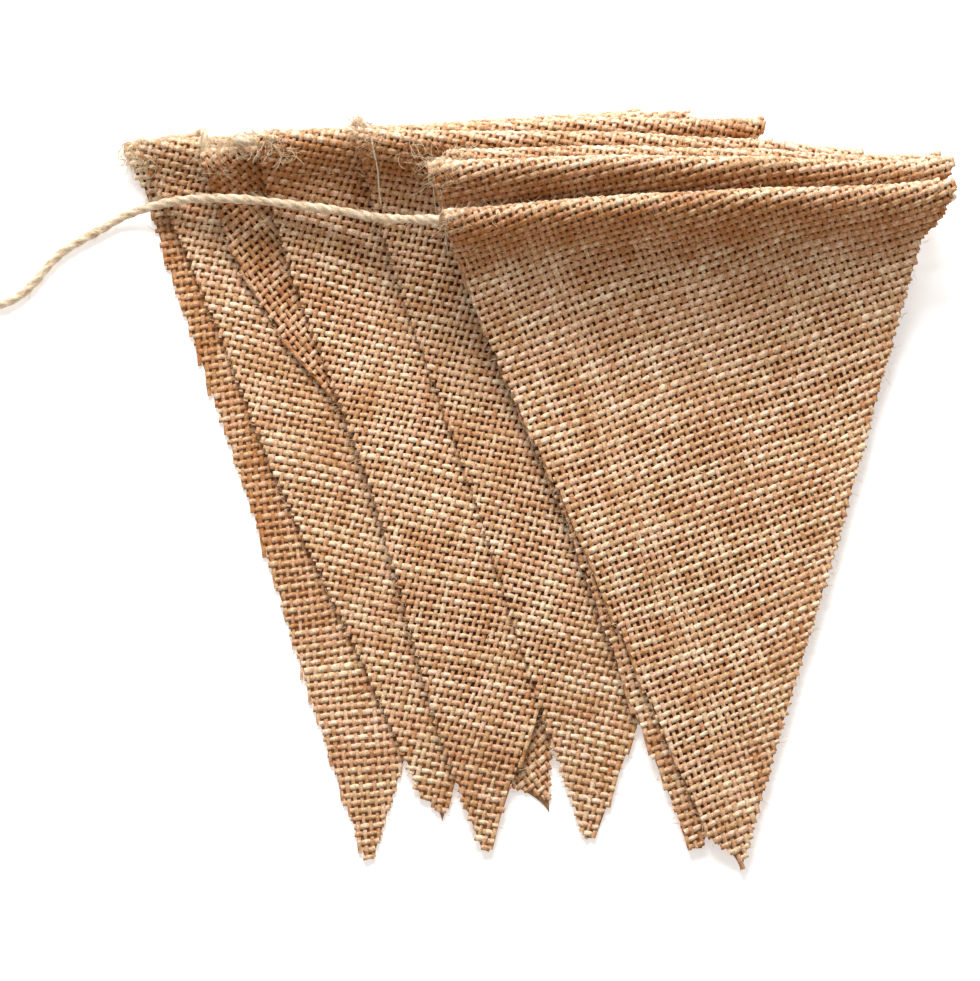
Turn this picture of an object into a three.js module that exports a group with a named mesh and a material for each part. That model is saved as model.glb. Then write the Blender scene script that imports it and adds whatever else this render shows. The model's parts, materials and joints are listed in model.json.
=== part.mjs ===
// A string of eight hessian pennants on a jute twine, folded into a fanned stack that lies flat.
// Millimetres, +Z up. The origin is on the surface, under the middle of the stack.
// The hems lie towards +Y and the tips point towards -Y.
import * as THREE from "three";

// The cloth, the hem that is turned under at its top edge, and the twine in the hem.
const clothThick = 1.1;
const hemDepth = 13.5;
const twineDiameter = 3.0;
const twineRoom = 0.55; // between the twine and the cloth round it
const layerGap = 0.7; // between one pennant and the next
const stitchGap = 0.5; // between the two layers at the hem's stitching
const hemRound = (twineDiameter + 2 * twineRoom + clothThick) / 2; // to the middle of the cloth
const hemFall = 7; // the length over which the face comes down past the turned edge
const turnedCorner = 2.5; // how far the turned edge's corners are rounded off
const turnedBack = 0.5; // how far the turned edge stops short of the hem's depth
const loft = 0.5; // how unevenly one pennant lies on another

// The mesh of a pennant: rows down its face, round the fold and along the turned edge, and columns across.
const faceRows = 13;
const hemRows = 7;
const foldRows = 6;
const turnedRows = 3;
const columns = 11;

// Pennants from the lowest to the top one. left and right are the ends of the hem's fold, and apex is the
// point where the two sides would meet. cut is how far the left and right sides stop short of it, and flare
// how far the ends of the hem stand out past the sides. sway is how far the sides bend. short is how far the
// turned edge stops short of the hem's left and right ends, where the twine drops out of it.
const pennants = [
  { left: [-130.2, 113.5], right: [26.7, 118], apex: [-51.2, -120],
    cut: [5, 5], flare: [2, 2], sway: 0.5, short: [0, 0] },
  { left: [-126.5, 111.5], right: [34, 122], apex: [-30.5, -110],
    cut: [15, 6], flare: [1, 2], sway: -1, short: [13, 6] },
  { left: [-105, 106.5], right: [50, 121], apex: [5, -108],
    cut: [16, 7], flare: [1, 2], sway: 6, short: [4.5, 0] },
  { left: [-88, 110.5], right: [73, 117], apex: [-15.2, -117.5],
    cut: [5, 5], flare: [0, 2], sway: 1.5, short: [0, 6] },
  { left: [-56.5, 108.5], right: [104, 108.7], apex: [16.6, -114],
    cut: [5, 5], flare: [0, 2], sway: 0.5, short: [5, 0] },
  { left: [-28.2, 101], right: [128, 105.3], apex: [52.4, -108],
    cut: [5, 5], flare: [1, 2], sway: 0.6, short: [0, 6] },
  { left: [-34.4, 95.3], right: [131.5, 101.6], apex: [49.5, -117.5],
    cut: [5, 5], flare: [1, 4], sway: 0.8, short: [6, 10] },
  { left: [-29.8, 80.8], right: [131.5, 93.6], apex: [61, -127],
    cut: [18, 7], flare: [0, 6], sway: 0.4, short: [0, 6] },
];

// The twine bends from one hem into the next within these lengths, and it has 8 sides.
const turnStart = 0.6;
const turnBulge = 3.2;
const turnSteps = 4;
const twineSides = 8;

// Where the twine runs on from one hem to the next out of sight, under the upper hem's end or down behind the
// hems, it has a route of its own. The key counts the passes through the hems from the top one.
const detours = {
  1: [
    [127.2, 89.9, 28.1], [129, 89.6, 25.8], [129.9, 90.3, 22.8], [129.2, 92, 20], [127, 94.2, 19.3],
    [124.8, 96.2, 20.3], [122.8, 97.6, 22.2],
  ],
  4: [
    [-52.3, 105.8, 31.1], [-53.3, 107.2, 30], [-54, 109.8, 29.6], [-54.5, 112.4, 28.5], [-55.2, 114.3, 25.8],
    [-56.2, 114.4, 22.4], [-58.5, 113.5, 19.2], [-63, 113.1, 16.9], [-68, 112.6, 15.9], [-73, 112.1, 15.7],
    [-78, 111.7, 15.6], [-83, 111.2, 15.6], [-88.5, 110.8, 16.8], [-92.3, 110.2, 19.6], [-93.2, 109, 22.4],
    [-91, 108.1, 23.9],
  ],
  5: [
    [68.6, 114.2, 17.3], [70.3, 114.6, 14.6], [69, 115.3, 11.4], [64.5, 116.2, 9.4], [59, 117.2, 9.5],
    [54.5, 118, 10.9], [51.2, 118.3, 12],
  ],
  6: [
    [-101.2, 104.3, 16], [-102.6, 105.4, 14.8], [-103.1, 107.6, 14.8], [-103.5, 110.6, 15.3],
    [-104, 113.6, 14.4], [-104.6, 115.4, 11.8], [-105.8, 115.7, 8.8], [-109, 114.9, 7.5],
    [-113.5, 114.2, 7.6], [-117, 113.4, 7.9], [-118.8, 112, 8.2], [-118.2, 110.6, 8.5], [-116.4, 109.9, 9.2],
    [-114.4, 109.7, 9.9],
  ],
};

// The twine's loose end, from the top hem over the pennants on the left, down to the surface and on.
const tail = [
  [-29.6, 78.4, 38], [-33.5, 78.9, 36.8], [-38.5, 80.4, 32], [-44, 82.3, 26], [-50, 84.2, 21.4],
  [-57, 86.2, 18.9], [-66, 87.9, 18.1], [-76, 89.2, 18.2], [-84, 90.4, 17.8], [-92, 91.6, 16.2],
  [-99, 92.5, 14.2], [-106, 93.2, 11.4], [-114, 93.2, 8.2], [-122, 92.1, 5.2], [-129, 90.2, 2.7],
  [-135, 87.1, 1.8], [-142, 83.1, 1.6], [-149, 78.5, 1.6], [-154.5, 72.5, 1.6], [-159.5, 66.5, 1.6],
  [-165, 62.5, 1.6], [-172, 60.5, 1.6], [-178.5, 56.5, 1.6], [-183, 50, 1.6], [-185.5, 42, 1.6],
  [-186.5, 33, 1.6], [-186, 23, 1.6],
];

// The height of what already lies on the surface, on a square grid.
const gridStep = 2.5;
const gridHalf = [150, 140];
const gridCount = gridHalf.map((half) => Math.round((2 * half) / gridStep) + 1);
const settleTurns = 60; // how far a pennant bridges the hollows under it
const steepest = [0.32, 0.8]; // the steepest slopes on which a pennant lies, along X and along Y

const clamp = (x, low, high) => Math.min(Math.max(x, low), high);
const smooth = (x) => clamp(x, 0, 1) ** 2 * (3 - 2 * clamp(x, 0, 1));
const mix = (a, b, share) => a + (b - a) * share;
const gridX = (i) => i * gridStep - gridHalf[0];
const gridY = (j) => j * gridStep - gridHalf[1];

function fieldAt(field, x, y) {
  const i = clamp((x + gridHalf[0]) / gridStep, 0, gridCount[0] - 1.001);
  const j = clamp((y + gridHalf[1]) / gridStep, 0, gridCount[1] - 1.001);
  const at = Math.floor(j) * gridCount[0] + Math.floor(i);
  const across = i - Math.floor(i);
  const low = mix(field[at], field[at + 1], across);
  const high = mix(field[at + gridCount[0]], field[at + gridCount[0] + 1], across);
  return mix(low, high, j - Math.floor(j));
}

// A pennant's own directions: across runs along the fold, down runs from the fold's middle to the apex.
function frameOf({ left, right, apex }) {
  const middle = [(left[0] + right[0]) / 2, (left[1] + right[1]) / 2];
  const width = Math.hypot(right[0] - left[0], right[1] - left[1]);
  const length = Math.hypot(apex[0] - middle[0], apex[1] - middle[1]);
  const across = [(right[0] - left[0]) / width, (right[1] - left[1]) / width];
  const down = [(apex[0] - middle[0]) / length, (apex[1] - middle[1]) / length];
  return { middle, width, length, across, down };
}

// What a point of the cloth rests on. The fold lies as one round roll, over all that is under it.
function restsOn(frame, under, across, down) {
  const heightAt = (distance) => fieldAt(under, ...place(frame, across, distance));
  const roll = Math.max(heightAt(0), heightAt(hemRound / 2), heightAt(hemRound));
  if (down <= hemRound) return roll;
  const here = heightAt(down);
  return Math.max(here, mix(roll, here, smooth((down - hemRound) / (hemDepth - hemRound))));
}

// Half the width at a distance down the face, on the left (-1) or right (1).
function halfWidth(pennant, frame, side, down) {
  const flare = pennant.flare[side < 0 ? 0 : 1];
  const straight = (frame.width / 2 - flare) * (1 - down / frame.length);
  const bend = pennant.sway * Math.sin((3 * Math.PI * down) / frame.length);
  return straight - side * bend + flare * Math.sqrt(1 - Math.min(down / hemDepth, 1) ** 2);
}

function place(frame, across, down) {
  return [0, 1].map((k) => frame.middle[k] + across * frame.across[k] + down * frame.down[k]);
}

// How high the middle of the face is over what the pennant lies on.
function faceRise(down) {
  const onFold = clothThick / 2 + 2 * hemRound;
  const onStitch = 1.5 * clothThick + stitchGap;
  const inward = hemRound - Math.max(down, 0);
  if (down < hemRound) return clothThick / 2 + hemRound + Math.sqrt(hemRound ** 2 - inward ** 2);
  if (down < hemDepth) return mix(onFold, onStitch, smooth((down - hemRound) / (hemDepth - hemRound)));
  return mix(onStitch, clothThick / 2, smooth((down - hemDepth) / hemFall));
}

// The distances across and down of a point of the surface, in a pennant's own directions.
function inFrame(frame, x, y) {
  const dx = x - frame.middle[0];
  const dy = y - frame.middle[1];
  const [ax, ay] = frame.across;
  const [bx, by] = frame.down;
  const turn = ax * by - ay * bx;
  return [(dx * by - dy * bx) / turn, (ax * dy - ay * dx) / turn];
}

function covers(pennant, frame, x, y, margin) {
  const [across, down] = inFrame(frame, x, y);
  const side = across < 0 ? -1 : 1;
  const wide = down < hemDepth ? frame.width / 2 : halfWidth(pennant, frame, side, down);
  return down > -margin && down < frame.length + margin && Math.abs(across) < wide + margin;
}

// What a pennant lies on: it bridges small hollows under it and is never nearer than layerGap.
function settle(pennant, frame, heap, turn) {
  const [nx, ny] = gridCount;
  const inside = new Uint8Array(nx * ny);
  const least = new Float64Array(nx * ny);
  for (let j = 0; j < ny; j++)
    for (let i = 0; i < nx; i++) {
      const at = j * nx + i;
      const [x, y] = [gridX(i), gridY(j)];
      const uneven = 1 + Math.sin(x / 19 + 2.1 * turn) * Math.sin(y / 23 + 1.3 * turn);
      inside[at] = covers(pennant, frame, x, y, 2 * gridStep) ? 1 : 0;
      least[at] = heap[at] > 0 ? heap[at] + layerGap + (loft * uneven) / 2 : 0;
    }
  let under = least.slice();
  const [fallX, fallY] = steepest.map((slope) => slope * gridStep);
  const ease = (at, way) => {
    under[at] = Math.max(under[at], under[at + way] - fallX, under[at + way * nx] - fallY);
  };
  for (let j = 1; j < ny - 1; j++)
    for (let i = 1; i < nx - 1; i++) ease(j * nx + i, -1);
  for (let j = ny - 2; j > 0; j--)
    for (let i = nx - 2; i > 0; i--) ease(j * nx + i, 1);
  for (let n = 0; n < settleTurns; n++) {
    const next = under.slice();
    for (let j = 1; j < ny - 1; j++)
      for (let i = 1; i < nx - 1; i++) {
        const at = j * nx + i;
        if (!inside[at]) continue;
        let sum = 0;
        let count = 0;
        for (const beside of [at - 1, at + 1, at - nx, at + nx])
          if (inside[beside]) {
            sum += under[beside];
            count++;
          }
        next[at] = Math.max(least[at], count ? sum / count : 0);
      }
    under = next;
  }
  return under;
}

// Adds the top of a pennant that has been laid to the height of the stack.
function heapUp(pennant, frame, under, heap) {
  const [nx, ny] = gridCount;
  for (let j = 0; j < ny; j++)
    for (let i = 0; i < nx; i++) {
      const at = j * nx + i;
      const [x, y] = [gridX(i), gridY(j)];
      if (!covers(pennant, frame, x, y, gridStep)) continue;
      const [across, down] = inFrame(frame, x, y);
      const onFace = Math.max(down, hemRound / 2);
      const top = restsOn(frame, under, across, onFace) + faceRise(onFace) + clothThick / 2;
      heap[at] = Math.max(heap[at], top);
    }
}

// Adds a run of the twine along X to the height of the stack.
function heapTwine(start, toX, heap) {
  const [nx, ny] = gridCount;
  for (let j = 0; j < ny; j++)
    for (let i = 0; i < nx; i++) {
      const at = j * nx + i;
      const beside = Math.abs(gridY(j) - start.y) < twineDiameter / 2 + gridStep;
      if (beside && gridX(i) > start.x && gridX(i) < toX + gridStep)
        heap[at] = Math.max(heap[at], start.z + twineDiameter / 2);
    }
}

// Moves the ends of a row in by the lengths that its pennant's turned edge is short.
function trimEnds(row, short) {
  const spacing = row[0].distanceTo(row[1]);
  row[0].lerp(row[1], short[0] / spacing);
  row.at(-1).lerp(row.at(-2), short[1] / spacing);
  return row;
}

// The middle of the cloth as rows of points, from the tip over the fold to the turned edge.
function clothRows(pennant, frame, under) {
  const rowAt = (downOf, riseOf, corner = 0) => {
    const row = [];
    for (let c = 0; c <= columns; c++) {
      const down = downOf(c / columns);
      const onFace = Math.max(down, hemRound);
      const [left, right] = [-1, 1].map((side) => halfWidth(pennant, frame, side, onFace) - corner);
      const across = mix(-left, right, c / columns);
      const [x, y] = place(frame, across, down);
      row.push(new THREE.Vector3(x, y, restsOn(frame, under, across, down) + riseOf(down)));
    }
    return row;
  };
  const hemEnd = hemDepth + hemFall;
  const face = Array.from({ length: faceRows }, (_, r) => {
    const tip = (share) => frame.length - mix(pennant.cut[0], pennant.cut[1], share);
    return rowAt((share) => mix(tip(share), hemEnd, r / faceRows), faceRise);
  });
  const hem = Array.from({ length: hemRows }, (_, r) => {
    const down = mix(hemEnd, hemRound, r / hemRows);
    return rowAt(() => down, faceRise);
  });
  const fold = Array.from({ length: foldRows }, (_, r) => {
    const angle = Math.PI * (0.5 - r / foldRows);
    const rise = clothThick / 2 + hemRound * (1 + Math.sin(angle));
    const row = rowAt(() => hemRound * (1 - Math.cos(angle)), () => rise);
    return angle < 0.01 ? trimEnds(row, pennant.short) : row;
  });
  const turned = Array.from({ length: turnedRows + 1 }, (_, r) => {
    const down = mix(hemRound, hemDepth - turnedBack, r / turnedRows);
    const corner = turnedCorner * smooth(r / turnedRows);
    const row = rowAt(() => down, () => clothThick / 2, corner);
    return trimEnds(row, pennant.short);
  });
  return [...face, ...hem, ...fold, ...turned];
}

// A closed sheet of the cloth's thickness about rows of points.
function sheetGeometry(rows, thick) {
  const high = rows.length;
  const wide = rows[0].length;
  const points = [];
  const along = new THREE.Vector3();
  const across = new THREE.Vector3();
  for (const side of [1, -1])
    rows.forEach((row, r) =>
      row.forEach((point, c) => {
        along.subVectors(rows[Math.min(r + 1, high - 1)][c], rows[Math.max(r - 1, 0)][c]);
        across.subVectors(row[Math.min(c + 1, wide - 1)], row[Math.max(c - 1, 0)]);
        const out = across.clone().cross(along).setLength((side * thick) / 2);
        points.push(out.add(point));
      }),
    );
  const face = (side, r, c) => (side > 0 ? 0 : high * wide) + r * wide + c;
  const index = [];
  const quad = (a, b, c, d) => index.push(a, b, c, a, c, d);
  for (let r = 0; r < high - 1; r++)
    for (let c = 0; c < wide - 1; c++) {
      quad(face(1, r, c), face(1, r, c + 1), face(1, r + 1, c + 1), face(1, r + 1, c));
      quad(face(-1, r, c), face(-1, r + 1, c), face(-1, r + 1, c + 1), face(-1, r, c + 1));
    }
  for (let r = 0; r < high - 1; r++) {
    quad(face(1, r, 0), face(1, r + 1, 0), face(-1, r + 1, 0), face(-1, r, 0));
    const end = wide - 1;
    quad(face(1, r + 1, end), face(1, r, end), face(-1, r, end), face(-1, r + 1, end));
  }
  for (let c = 0; c < wide - 1; c++) {
    quad(face(1, 0, c + 1), face(1, 0, c), face(-1, 0, c), face(-1, 0, c + 1));
    const end = high - 1;
    quad(face(1, end, c), face(1, end, c + 1), face(-1, end, c + 1), face(-1, end, c));
  }
  const geometry = new THREE.BufferGeometry();
  const positions = points.flatMap((point) => point.toArray());
  geometry.setAttribute("position", new THREE.Float32BufferAttribute(positions, 3));
  geometry.setIndex(index);
  geometry.computeVertexNormals();
  return geometry;
}

// The twine's centre where it runs through a hem, from its left end to its right end.
function hemLine(pennant, frame, under) {
  const halves = [-1, 1].map((side) => halfWidth(pennant, frame, side, hemRound));
  const line = Array.from({ length: columns + 1 }, (_, c) => {
    const across = mix(-halves[0], halves[1], c / columns);
    const [x, y] = place(frame, across, hemRound);
    const z = restsOn(frame, under, across, hemRound) + clothThick / 2 + hemRound;
    return new THREE.Vector3(x, y, z);
  });
  return trimEnds(line, pennant.short);
}

// How far out the twine runs past the ends of two hems before it turns from one into the other.
function turnReach(side, ends) {
  return Math.max(...ends.map((end) => side * end.x)) + turnStart;
}

// The twine's bend from the end of one hem to the end of the next, out to the left (-1) or right (1).
function bend(side, from, to) {
  const reach = turnReach(side, [from, to]);
  const [start, stop] = [from, to].map((end) => new THREE.Vector3(side * reach, end.y, end.z));
  const middle = start.clone().lerp(stop, 0.5);
  const half = start.clone().sub(stop).multiplyScalar(0.5);
  const bulge = Math.min(half.length(), turnBulge);
  return Array.from({ length: turnSteps + 1 }, (_, k) => {
    const angle = (Math.PI * k) / turnSteps;
    const point = middle.clone().addScaledVector(half, Math.cos(angle));
    point.x += side * bulge * Math.sin(angle);
    point.z = mix(start.z, stop.z, smooth((2 * k) / turnSteps));
    return point;
  });
}

// A curve that ExtrudeGeometry cuts at its own points rather than at equal lengths.
class StationCurve extends THREE.CatmullRomCurve3 {
  getUtoTmapping(share) {
    return share;
  }
}

function toPoints(list) {
  return list.map((point) => new THREE.Vector3(...point));
}

function twineGeometry(stations) {
  const corners = Array.from({ length: twineSides }, (_, k) => {
    const angle = (2 * Math.PI * k) / twineSides;
    return new THREE.Vector2(Math.cos(angle), Math.sin(angle)).multiplyScalar(twineDiameter / 2);
  });
  const path = new StationCurve(stations, false, "centripetal");
  return new THREE.ExtrudeGeometry(new THREE.Shape(corners), {
    steps: stations.length - 1,
    extrudePath: path,
    bevelEnabled: false,
  });
}

const jute = new THREE.MeshStandardMaterial({ color: 0xbe966e, roughness: 0.95, metalness: 0 });
const twineJute = new THREE.MeshStandardMaterial({ color: 0xe1cdaa, roughness: 0.9, metalness: 0 });

const bunting = new THREE.Group();
function addMesh(name, geometry, material) {
  const mesh = new THREE.Mesh(geometry, material);
  mesh.name = name;
  bunting.add(mesh);
}

// The pennants are laid from the lowest up. Where a hem ends under the next pennant, the twine runs on to
// that one's end, and the next pennant lies over it.
const heap = new Float64Array(gridCount[0] * gridCount[1]);
const hemLines = pennants.map((pennant, turn) => {
  const frame = frameOf(pennant);
  const under = settle(pennant, frame, heap, turn);
  const rows = clothRows(pennant, frame, under);
  addMesh(`pennant_${turn + 1}`, sheetGeometry(rows, clothThick), jute);
  heapUp(pennant, frame, under, heap);
  const line = hemLine(pennant, frame, under);
  const above = pennants[turn + 1];
  if (above && turn % 2 === 0) {
    const reach = above.right[0] - above.short[1] + turnBulge;
    heapTwine(line.at(-1), reach, heap);
  }
  return line;
});

const threaded = [];
hemLines.toReversed().forEach((line, pass) => {
  const rightward = pass % 2 === 0;
  const run = rightward ? line : line.toReversed();
  if (pass) {
    const side = rightward ? -1 : 1;
    const around = detours[pass];
    const turned = around ? toPoints(around) : bend(side, threaded.at(-1), run[0]);
    threaded.push(...turned);
  }
  threaded.push(...run);
});
addMesh("twine_in_hems", twineGeometry(threaded), twineJute);
addMesh("twine_end", twineGeometry(toPoints(tail)), twineJute);

export default bunting;
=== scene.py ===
# The looks of a string of eight hessian pennants, folded into a fanned stack on a pale surface.
# Sizes are in millimetres, as in the part's own source, and become metres where a mesh is made.
import json
import math

import bpy
import numpy as np
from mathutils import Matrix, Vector
from mathutils.bvhtree import BVHTree

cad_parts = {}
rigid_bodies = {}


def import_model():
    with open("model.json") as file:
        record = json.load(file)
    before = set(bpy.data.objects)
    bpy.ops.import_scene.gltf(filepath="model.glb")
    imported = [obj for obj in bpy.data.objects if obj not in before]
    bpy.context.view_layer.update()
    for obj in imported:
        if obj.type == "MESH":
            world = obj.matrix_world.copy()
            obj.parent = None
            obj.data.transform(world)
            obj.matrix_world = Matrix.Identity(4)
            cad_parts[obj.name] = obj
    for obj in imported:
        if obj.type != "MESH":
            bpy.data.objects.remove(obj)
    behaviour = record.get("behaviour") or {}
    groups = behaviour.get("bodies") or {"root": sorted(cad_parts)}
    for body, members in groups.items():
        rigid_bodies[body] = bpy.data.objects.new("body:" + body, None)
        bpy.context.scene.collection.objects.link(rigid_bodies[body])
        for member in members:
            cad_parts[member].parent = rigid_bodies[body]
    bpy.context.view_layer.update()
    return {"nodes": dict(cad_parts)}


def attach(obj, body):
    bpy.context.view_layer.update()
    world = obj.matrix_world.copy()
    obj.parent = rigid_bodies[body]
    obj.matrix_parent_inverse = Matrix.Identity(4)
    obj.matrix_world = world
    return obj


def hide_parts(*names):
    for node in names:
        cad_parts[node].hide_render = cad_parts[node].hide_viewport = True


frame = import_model()
mm = 0.001
print("frame loaded")

# Camera: it looks almost straight down, with the hems at the top of the picture.
view = {
    "elevation": 76,
    "distance": 1800,
    "target": (-14.26, -0.8, 10),
    "mmPerPixel": 0.31,
    "pictureHeight": 981,
}


def makeCamera(settings):
    data = bpy.data.cameras.new("camera")
    data.sensor_width = 36
    data.lens = 36 * settings["distance"] / (settings["mmPerPixel"] * settings["pictureHeight"])
    data.clip_start = 0.05
    data.clip_end = 20
    camera = bpy.data.objects.new("camera", data)
    bpy.context.collection.objects.link(camera)
    angle = math.radians(settings["elevation"])
    back = Vector((0, -math.cos(angle), math.sin(angle)))
    camera.location = (Vector(settings["target"]) + back * settings["distance"]) * mm
    camera.rotation_euler = (math.pi / 2 - angle, 0, 0)
    bpy.context.scene.camera = camera


makeCamera(view)


# A Wire is one socket, and sums and products of wires add Math nodes.
class Wire:
    def __init__(self, tree, socket):
        self.tree = tree
        self.socket = socket

    def maths(self, operation, first, second):
        return self.tree.node("ShaderNodeMath", {"operation": operation}, {0: first, 1: second})

    def __add__(self, other):
        return self.maths("ADD", self, other)

    def __mul__(self, other):
        return self.maths("MULTIPLY", self, other)

    def __sub__(self, other):
        return self.maths("SUBTRACT", self, other)

    def __rsub__(self, other):
        return self.maths("SUBTRACT", other, self)

    __radd__ = __add__
    __rmul__ = __mul__


# A tree of nodes, of a material or of a Geometry Nodes modifier.
class Tree:
    def __init__(self, nodeTree):
        self.nodeTree = nodeTree

    def node(self, kind, settings=None, sockets=None, output=0):
        made = self.nodeTree.nodes.new(kind)
        for name, value in (settings or {}).items():
            if name == "stops":
                for stop, (place, colour) in zip(made.color_ramp.elements, value):
                    stop.position = place
                    stop.color = (*colour, 1)
            else:
                setattr(made, name, value)
        for key, value in (sockets or {}).items():
            if isinstance(value, Wire):
                self.nodeTree.links.new(value.socket, made.inputs[key])
            else:
                made.inputs[key].default_value = value
        return Wire(self, made.outputs[output])


def newMaterial(name, **fixed):
    material = bpy.data.materials.new(name)
    material.use_nodes = True
    nodeTree = material.node_tree
    shader = nodeTree.nodes["Principled BSDF"]
    for socketName, value in fixed.items():
        shader.inputs[socketName.replace("_", " ")].default_value = value
    return material, Tree(nodeTree), shader


def feed(tree, shader, socketName, wire):
    tree.nodeTree.links.new(wire.socket, shader.inputs[socketName])


def ramp(tree, share, *stops):
    return tree.node("ShaderNodeValToRGB", {"stops": stops}, {0: share})


juteLooks = {
    "dark": (0.40, 0.150, 0.036),
    "light": (0.63, 0.380, 0.215),
    "pale": (0.95, 0.78, 0.60),
    # Painted shade seen through the holes: darkest under many layers, lighter brown under one.
    "holeDeepShade": (0.095, 0.028, 0.007),
    "holeLightShade": (0.38, 0.20, 0.09),
    "pinkish": (1.0, 0.94, 0.94),
    "sandy": (0.97, 1.0, 0.92),
    "sheen": (1.0, 0.86, 0.68, 1),
    "own": 0.8,
    "base": 0.1,
    "blotchScale": 90,
    "blotches": 0.7,
    "speckScale": 1500,
    "specks": 1.6,
    "patchScale": 300,
    "patches": 0.5,
    "bump": {"Strength": 0.6, "Distance": 0.0002},
}


# A colour ramp through a dark, a middle and a pale colour.
def threeTones(tree, share, looks):
    colour = ramp(tree, share, (0.0, looks["dark"]), (1.0, looks["pale"]))
    middle = colour.socket.node.color_ramp.elements.new(0.5)
    middle.color = (*looks["light"], 1)
    return colour


def attributeOf(tree, name):
    return tree.node("ShaderNodeAttribute", {"attribute_name": name}, output=2)


def multiplied(tree, first, second):
    settings = {"data_type": "RGBA", "blend_type": "MULTIPLY"}
    return tree.node("ShaderNodeMix", settings, {0: 1.0, 6: first, 7: second}, output=2)


def noiseOf(tree, place, scale, detail=3):
    return tree.node("ShaderNodeTexNoise", {}, {"Vector": place, "Scale": scale, "Detail": detail})


# The thread of the cloth: every thread has its own tone and tint, and fine specks run over it. Its tone
# also holds painted shade and painted highlights.
def threadMaterial(name, looks):
    material, tree, shader = newMaterial(name, Roughness=0.9, Sheen_Weight=0.1, Sheen_Roughness=0.6)
    shader.inputs["Sheen Tint"].default_value = looks["sheen"]
    place = tree.node("ShaderNodeTexCoord", output=3)
    blotches = noiseOf(tree, place, looks["blotchScale"])
    specks = noiseOf(tree, place, looks["speckScale"])
    share = attributeOf(tree, "tone") * looks["own"] + (blotches - 0.5) * looks["blotches"]
    share = share + (specks - 0.5) * looks["specks"] + looks["base"]
    tint = ramp(tree, attributeOf(tree, "tint"), (0.25, looks["sandy"]), (0.75, looks["pinkish"]))
    feed(tree, shader, "Base Color", multiplied(tree, threeTones(tree, share, looks), tint))
    feed(tree, shader, "Normal", tree.node("ShaderNodeBump", {}, dict(looks["bump"], Height=specks)))
    return material


# The sheet between the threads, seen through the holes, coloured with painted shade: dark where more cloth
# lies under it, brown where it lies alone.
def holeShadeMaterial(looks):
    material, tree, shader = newMaterial("holeShadeSheet", Roughness=1.0)
    place = tree.node("ShaderNodeTexCoord", output=3)
    patches = noiseOf(tree, place, looks["patchScale"])
    share = attributeOf(tree, "deep") + (patches - 0.5) * looks["patches"]
    colour = ramp(tree, share, (0.0, looks["holeLightShade"]), (1.0, looks["holeDeepShade"]))
    feed(tree, shader, "Base Color", colour)
    return material


yarnJute = threadMaterial("yarnJute", juteLooks)
holeShadeSheet = holeShadeMaterial(juteLooks)
fibreLooks = dict(juteLooks, dark=(0.42, 0.27, 0.13), light=(0.72, 0.56, 0.37), pale=(0.92, 0.82, 0.66))
fibreJute = threadMaterial("fibreJute", fibreLooks)

twineLooks = {
    "dark": (0.32, 0.18, 0.07),
    "light": (0.74, 0.55, 0.36),
    "pale": (0.97, 0.86, 0.68),
    "own": 0.6,
    "base": 0.24,
    "fibres": 2.4,
    "fibreScale": 2.6,
    "fibreDetail": 5,
    "acrossFibres": 3.0,
    "alongFibres": 0.35,
    "paintedGrooveShade": 0.16,
    "bump": {"Strength": 0.6, "Distance": 0.0004},
}


# The twine: fine fibres run along it, and the grooves between its strands have painted shade.
def twineMaterial(name, looks):
    material, tree, shader = newMaterial(name, Roughness=0.85, Sheen_Weight=0.15, Sheen_Roughness=0.5)
    around = attributeOf(tree, "around")
    x = tree.node("ShaderNodeMath", {"operation": "COSINE"}, {0: around})
    y = tree.node("ShaderNodeMath", {"operation": "SINE"}, {0: around})
    across = looks["acrossFibres"]
    along = attributeOf(tree, "length") * looks["alongFibres"]
    place = tree.node("ShaderNodeCombineXYZ", {}, {0: x * across, 1: y * across, 2: along})
    fibres = noiseOf(tree, place, looks["fibreScale"], looks["fibreDetail"])
    # Painted shade in the grooves between strands.
    paintedGrooveShade = attributeOf(tree, "lobe") * looks["paintedGrooveShade"]
    share = attributeOf(tree, "tone") * looks["own"] + (fibres - 0.5) * looks["fibres"]
    share = share + paintedGrooveShade + looks["base"]
    feed(tree, shader, "Base Color", threeTones(tree, share, looks))
    feed(tree, shader, "Normal", tree.node("ShaderNodeBump", {}, dict(looks["bump"], Height=fibres)))
    return material


twineJute = twineMaterial("twineJute", twineLooks)


# The cloth's sizes, as in the solids, and the small rumple of its faces, which the solids don't have.
cloth = {
    "thick": 1.1,
    "hemDepth": 13.5,
    "hemRound": 2.6,
    "hemFall": 7,
    "turnedBack": 0.5,
    "turnedCorner": 2.5,
    "rumple": 0.3,
    "rumpleLengths": (7, 17, 11, 23, 15, 6.5),
}

# How the solids' heights are read: the grid's steps across and down and what it reaches past the cloth, and
# the blurs, in steps. The face's wider blur comes in over a length past the hem.
sampling = {
    "step": (2.5, 1.25),
    "margin": 5,
    "hemBlur": (1.6, 0),
    "faceBlur": (3.2, 5.0),
    "blendFrom": 2,
    "blendOver": 14,
}
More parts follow.
